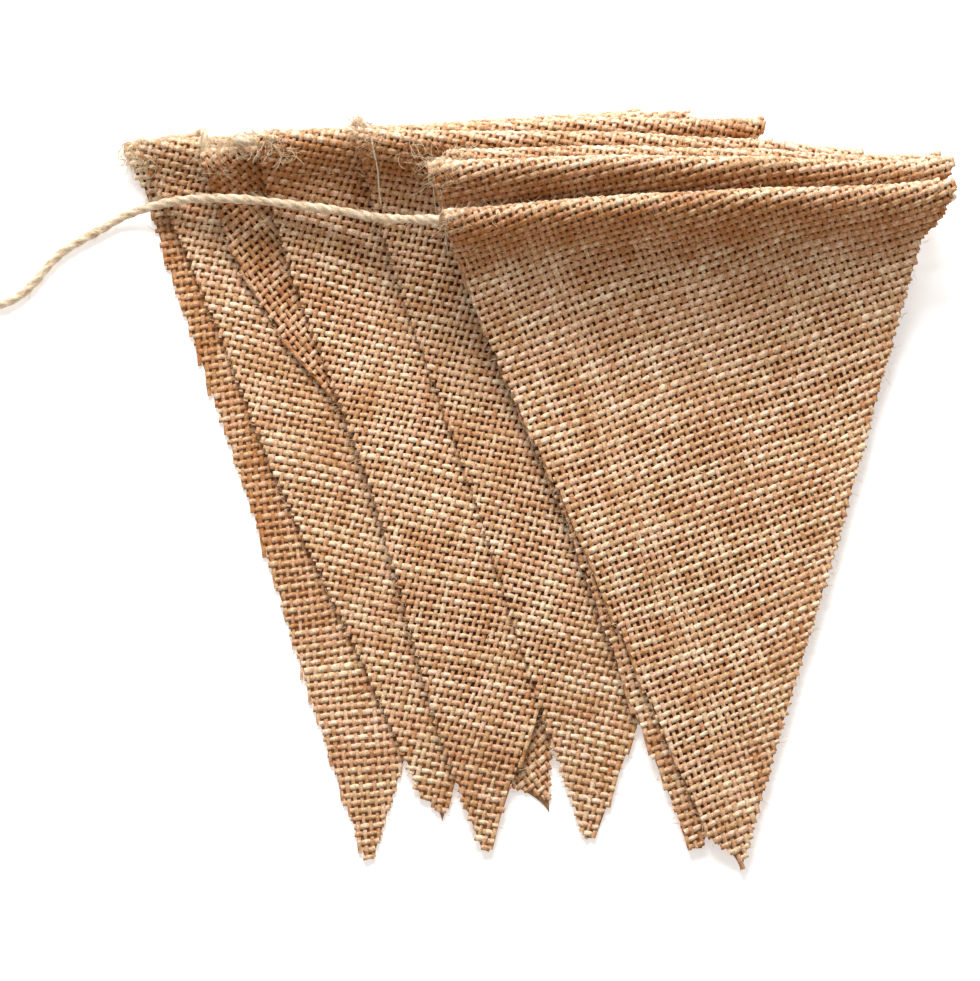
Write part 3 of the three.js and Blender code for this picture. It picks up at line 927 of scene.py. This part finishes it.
# Single loose threads, by half their thickness and the pixels of their bends in the picture. They lie on
# what is highest there, and lift is how far they stand off it.
strandColumns = ("wide", "lift", "tone", "pixels")
strands = [
    (0.36, 0.9, 1.8, [(371, 136), (374, 152), (378, 172), (379, 188), (381, 204)]),
    (0.16, 0.6, 0.0, [(346, 117), (351, 121), (356, 124), (361, 132)]),
    (0.13, 0.5, 0.1, [(214, 134), (219, 130), (224, 133), (228, 130)]),
    (0.13, 0.6, 0.3, [(234, 137), (241, 132), (249, 134)]),
    (0.15, 0.6, 0.2, [(262, 134), (268, 127), (277, 130), (286, 127)]),
    (0.12, 0.5, 0.1, [(299, 127), (305, 125), (313, 131)]),
    (0.14, 0.8, 0.9, [(430, 141), (437, 148), (441, 158), (446, 163)]),
    (0.14, 0.8, 0.8, [(436, 141), (444, 150), (447, 156), (457, 160), (470, 157)]),
    (0.13, 0.8, 0.8, [(478, 203), (490, 206), (505, 199), (520, 190)]),
    (0.13, 0.8, 0.9, [(498, 212), (492, 222), (499, 229), (494, 238)]),
    (0.12, 0.7, 0.8, [(466, 246), (470, 251), (476, 249)]),
    (0.13, 0.8, 0.9, [(265, 139), (276, 148), (281, 160), (272, 168)]),
    (0.13, 0.8, 0.8, [(279, 140), (284, 152), (276, 165), (262, 170)]),
    (0.13, 0.8, 0.5, [(947, 166), (948, 158), (952, 147)]),
    (0.3, 0.8, 1.3, [(425, 164), (431, 171), (437, 176)]),
    (0.2, 0.8, 1.0, [(432, 195), (438, 203), (441, 214), (447, 226)]),
    (0.24, 0.8, 1.2, [(118, 160), (120, 149), (127, 142), (135, 145), (137, 157)]),
]


# Where a place in the picture lies, at a given height.
def fromPicture(pixel, height):
    angle = math.radians(view["elevation"])
    target = view["target"]
    toward = 0.0
    for _ in range(3):
        scale = view["mmPerPixel"] * (1 - toward / view["distance"])
        x = target[0] + (pixel[0] - 490) * scale
        up = (view["pictureHeight"] / 2 - pixel[1]) * scale
        y = target[1] + (up - (height - target[2]) * math.cos(angle)) / math.sin(angle)
        toward = (height - target[2]) * math.sin(angle) - (y - target[1]) * math.cos(angle)
    return x, y


# The top of the stack below a point, or None beside it.
def stackTops():
    points, faces = [], []
    for number in range(len(laid)):
        mesh = bpy.data.objects[f"cloth_{number + 1}"].data
        faces += [[v + len(points) for v in polygon.vertices] for polygon in mesh.polygons]
        points += [v.co.copy() for v in mesh.vertices]
    tree = BVHTree.FromPolygons(points, faces)

    def topAt(x, y):
        hit = tree.ray_cast(Vector((x * mm, y * mm, 1)), Vector((0, 0, -1)))[0]
        return None if hit is None else hit.z / mm

    return topAt


def addStrand(lines, strand, topAt, draw):
    points = []
    height = None
    for pixel in reversed(strand["pixels"]):
        guess = 20.0 if height is None else height
        for _ in range(3):
            x, y = fromPicture(pixel, guess)
            top = topAt(x, y)
            if top is not None:
                guess = top + strand["lift"] - ground["out"]
        height = guess
        points.append((x, y, height))
    route = smoothLine(points, 0.6)[0]
    lines.add(route, strand["wide"], strand["tone"], draw.uniform(0.3, 0.7), upward)


fibreDraw = np.random.default_rng(fibres["seed"])
fibreLines = Lines()
for number in range(len(laid)):
    scatterFibres(fibreLines, number, fibreDraw)
for middle, reach, count in tufts:
    addTuft(fibreLines, middle, reach, count, fibreDraw)
topAt = stackTops()
for row in strands:
    addStrand(fibreLines, dict(zip(strandColumns, row)), topAt, fibreDraw)
looseFibres = fibreLines.make("loose_fibres", 3, fibreJute)
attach(looseFibres, "root")
print("fibres made")


# The sewing thread that holds each hem: one stitch after another across the cloth.
stitches = {"down": 12.6, "length": 3.1, "gap": 0.7, "wide": 0.13, "out": 0.66, "dip": 0.9}


def stitchLines(lines, pennant, draw):
    along = float(pennant.alongOf(stitches["down"] - cloth["hemRound"]))
    reach = float(pennant.halfWidth(1.0, stitches["down"])) - 1.5
    pitch = stitches["length"] + stitches["gap"]
    for start in np.arange(-reach, reach - pitch, pitch):
        across = start + np.linspace(0, stitches["length"], 5)
        rise = stitches["out"] - stitches["dip"] * np.array([1, 0.1, 0, 0.1, 1])
        row = np.full(5, along + draw.normal(0, 0.1))
        lines.add(pennant.pointsAt(across, row, rise), stitches["wide"], 0.8, 0.5, upward)


stitchDraw = np.random.default_rng(fibres["seed"] + 1)
sewn = Lines()
for pennant in laid:
    stitchLines(sewn, pennant, stitchDraw)
hemStitches = sewn.make("hem_stitches", 5, fibreJute)
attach(hemStitches, "root")
print("hems sewn")


# The twine: its loose end's route, as in the solids, and the way it takes through the hems.
twine = {
    "wide": 3.0,
    "lay": 14,
    "plies": 3,
    "lobe": 0.10,
    "evenShare": 0.96 / 1.06,
    "uneven": 0.11 / 1.06,
    "turnBeyond": 0.6,
    "turnBulge": 3.2,
    "fuzz": 260,
    "fuzzReach": (1.0, 2.8),
    "fuzzWide": (0.04, 0.09),
    "fuzzTone": (0.3, 1.0),
    "seed": 5,
}
tail = [
    (-29.6, 78.4, 38), (-33.5, 78.9, 36.8), (-38.5, 80.4, 32), (-44, 82.3, 26), (-50, 84.2, 21.4),
    (-57, 86.2, 18.9), (-66, 87.9, 18.1), (-76, 89.2, 18.2), (-84, 90.4, 17.8), (-92, 91.6, 16.2),
    (-99, 92.5, 14.2), (-106, 93.2, 11.4), (-114, 93.2, 8.2), (-122, 92.1, 5.2), (-129, 90.2, 2.7),
    (-135, 87.1, 1.8), (-142, 83.1, 1.6), (-149, 78.5, 1.6), (-154.5, 72.5, 1.6), (-159.5, 66.5, 1.6),
    (-165, 62.5, 1.6), (-172, 60.5, 1.6), (-178.5, 56.5, 1.6), (-183, 50, 1.6), (-185.5, 42, 1.6),
    (-186.5, 33, 1.6), (-186, 23, 1.6),
]
detours = {
    1: [(127.2, 89.9, 28.1), (129, 89.6, 25.8), (129.9, 90.3, 22.8), (129.2, 92, 20), (127, 94.2, 19.3),
        (124.8, 96.2, 20.3), (122.8, 97.6, 22.2)],
    4: [(-52.3, 105.8, 31.1), (-53.3, 107.2, 30), (-54, 109.8, 29.6), (-54.5, 112.4, 28.5),
        (-55.2, 114.3, 25.8), (-56.2, 114.4, 22.4), (-58.5, 113.5, 19.2), (-63, 113.1, 16.9),
        (-68, 112.6, 15.9), (-73, 112.1, 15.7), (-78, 111.7, 15.6), (-83, 111.2, 15.6),
        (-88.5, 110.8, 16.8), (-92.3, 110.2, 19.6), (-93.2, 109, 22.4), (-91, 108.1, 23.9)],
    5: [(68.6, 114.2, 17.3), (70.3, 114.6, 14.6), (69, 115.3, 11.4), (64.5, 116.2, 9.4),
        (59, 117.2, 9.5), (54.5, 118, 10.9), (51.2, 118.3, 12)],
    6: [(-101.2, 104.3, 16), (-102.6, 105.4, 14.8), (-103.1, 107.6, 14.8), (-103.5, 110.6, 15.3),
        (-104, 113.6, 14.4), (-104.6, 115.4, 11.8), (-105.8, 115.7, 8.8), (-109, 114.9, 7.5),
        (-113.5, 114.2, 7.6), (-117, 113.4, 7.9), (-118.8, 112, 8.2), (-118.2, 110.6, 8.5),
        (-116.4, 109.9, 9.2), (-114.4, 109.7, 9.9)],
}


# Strands twisted together: one section with a lobe for each, which turns along the path.
def twineNodes():
    group, tree, wires = newGroup("twistedTwine", [
        ("Sides", "NodeSocketInt", 16),
        ("Lobe Depth", "NodeSocketFloat", 0.2),
        ("Material", "NodeSocketMaterial", None),
    ])
    paths = tree.node("GeometryNodeMeshToCurve", {}, {"Mesh": wires["Geometry"]})
    paths = tree.node("GeometryNodeSetCurveTilt", {}, {"Curve": paths, "Tilt": named(tree, "turn")})
    ring = circle(tree, wires["Sides"])
    place = tree.node("GeometryNodeInputPosition")
    apart = tree.node("ShaderNodeSeparateXYZ", {}, {0: place})
    y = Wire(tree, apart.socket.node.outputs[1])
    angle = tree.node("ShaderNodeMath", {"operation": "ARCTAN2"}, {0: y, 1: apart})
    lobes = tree.node("ShaderNodeMath", {"operation": "COSINE"}, {0: angle * twine["plies"]})
    size = lobes * wires["Lobe Depth"] + 1.0
    moved = tree.node("ShaderNodeVectorMath", {"operation": "SCALE"}, {0: place, "Scale": size})
    ring = tree.node("GeometryNodeSetPosition", {}, {"Geometry": ring, "Position": moved})
    for name, value in (("lobe", lobes), ("around", angle)):
        ring = tree.node("GeometryNodeStoreNamedAttribute", {"data_type": "FLOAT", "domain": "POINT"},
                         {"Geometry": ring, "Name": name, "Value": value})
    closeGroup(group, tree, paths, ring, wires["Material"])
    return group


twisted = twineNodes()


def makeTwine(name, route, step, sides):
    draw = np.random.default_rng(twine["seed"])
    line, lengths = smoothLine(route, step)
    uneven = slowWaves(draw, lengths, (11, 24, 53), twine["uneven"])
    thick = twine["wide"] / 2 * (twine["evenShare"] + uneven)
    made = meshObject(name, line, [(k, k + 1) for k in range(len(line) - 1)])
    addAttribute(made, "thick", thick)
    addAttribute(made, "tone", 0.55 + slowWaves(draw, lengths, (6, 17), 0.25))
    addAttribute(made, "length", lengths)
    addAttribute(made, "turn", math.tau * lengths / twine["lay"])
    runNodes(made, twisted, {"Sides": sides, "Lobe Depth": twine["lobe"], "Material": twineJute})
    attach(made, "root")
    return made, line


def hemLine(pennant):
    r = cloth["hemRound"]
    ends = [pennant.halfWidth(side, r) for side in (-1.0, 1.0)]
    across = np.linspace(-ends[0], ends[1], 12)
    spacing = across[1] - across[0]
    across[0] += min(pennant.row["short"][0], spacing * 0.9)
    across[-1] -= min(pennant.row["short"][1], spacing * 0.9)
    at = np.full_like(across, r)
    xy = pennant.place(across, at)
    z = (pennant.heightOf(pennant.top, across, at) + pennant.heightOf(pennant.low, across, at)) / 2
    return np.concatenate([xy, z[:, None]], 1)


def bend(side, start, stop):
    reach = max(side * start[0], side * stop[0]) + twine["turnBeyond"]
    first = np.array([side * reach, start[1], start[2]])
    last = np.array([side * reach, stop[1], stop[2]])
    middle = (first + last) / 2
    half = (first - last) / 2
    bulge = min(np.linalg.norm(half), twine["turnBulge"])
    points = []
    for k in range(5):
        angle = math.pi * k / 4
        point = middle + half * math.cos(angle)
        point[0] += side * bulge * math.sin(angle)
        point[2] = first[2] + (last[2] - first[2]) * float(smoothStep(k / 2))
        points.append(point)
    return points


def threadedRoute():
    route = []
    for turn, pennant in enumerate(reversed(laid)):
        line = list(hemLine(pennant))
        rightward = turn % 2 == 0
        if not rightward:
            line.reverse()
        if turn in detours:
            route += [np.array(p, float) for p in detours[turn]]
        elif turn:
            route += bend(-1 if rightward else 1, route[-1], line[0])
        route += line
    return route


# Short fibres that stand off the twine.
def makeFuzz(name, line):
    draw = np.random.default_rng(twine["seed"] + 1)
    lines = Lines()
    along = np.linspace(0, 1, 5)
    for k in draw.integers(3, len(line) - 3, twine["fuzz"]):
        way = line[k + 2] - line[k - 2]
        way /= np.linalg.norm(way)
        side = np.cross(way, draw.normal(0, 1, 3))
        side /= np.linalg.norm(side)
        reach = draw.uniform(*twine["fuzzReach"])
        path = line[k] + side * (1.3 + along[:, None] ** 1.5 * reach * 0.6) + way * along[:, None] * reach
        path[:, 2] = np.maximum(path[:, 2], fibres["lowest"])
        wide = draw.uniform(*twine["fuzzWide"])
        lines.add(path, wide, draw.uniform(*twine["fuzzTone"]), 0.5, upward)
    made = lines.make(name, 3, fibreJute)
    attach(made, "root")
    return made


tailPiece, tailLine = makeTwine("twine_tail", tail, 0.6, 16)
tailFuzz = makeFuzz("twine_fuzz", tailLine)
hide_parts("twine_end")
hemTwine = makeTwine("twine_through_hems", threadedRoute(), 1.4, 10)[0]
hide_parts("twine_in_hems")
print("twine made")


# The surface and the light, which comes from beyond the hems.
light = {
    "from": (-150, 1100, 850),
    "size": 700,
    "power": 27.5,
    "sky": 0.5,
    "skyColour": (1.0, 0.95, 0.89),
    "floorColour": (0.93, 0.93, 0.93),
    "floorGlow": 0.4,
    "floorHalf": 3000,
    "floorTop": -0.3,
}


def makeStage(settings):
    half, top = settings["floorHalf"], settings["floorTop"]
    corners = [(x * half, y * half, top) for x, y in ((-1, -1), (1, -1), (1, 1), (-1, 1))]
    floor = meshObject("floor", corners, faces=[(0, 1, 2, 3)])
    material, tree, shader = newMaterial("paleFloor", Roughness=0.9)
    shader.inputs["Base Color"].default_value = (*settings["floorColour"], 1)
    shader.inputs["Emission Color"].default_value = (1, 1, 1, 1)
    shader.inputs["Emission Strength"].default_value = settings["floorGlow"]
    floor.data.materials.append(material)
    lamp = bpy.data.lights.new("lamp", "AREA")
    lamp.energy = settings["power"]
    lamp.size = settings["size"] * mm
    lampObject = bpy.data.objects.new("lamp", lamp)
    bpy.context.collection.objects.link(lampObject)
    spot = Vector(settings["from"]) * mm
    lampObject.location = spot
    lampObject.rotation_euler = (-spot).to_track_quat("-Z", "Y").to_euler()
    world = bpy.data.worlds.new("sky")
    world.use_nodes = True
    sky = world.node_tree.nodes["Background"].inputs
    sky["Color"].default_value = (*settings["skyColour"], 1)
    sky["Strength"].default_value = settings["sky"]
    bpy.context.scene.world = world
    bpy.context.scene.view_settings.view_transform = "Standard"


makeStage(light)

print("done")
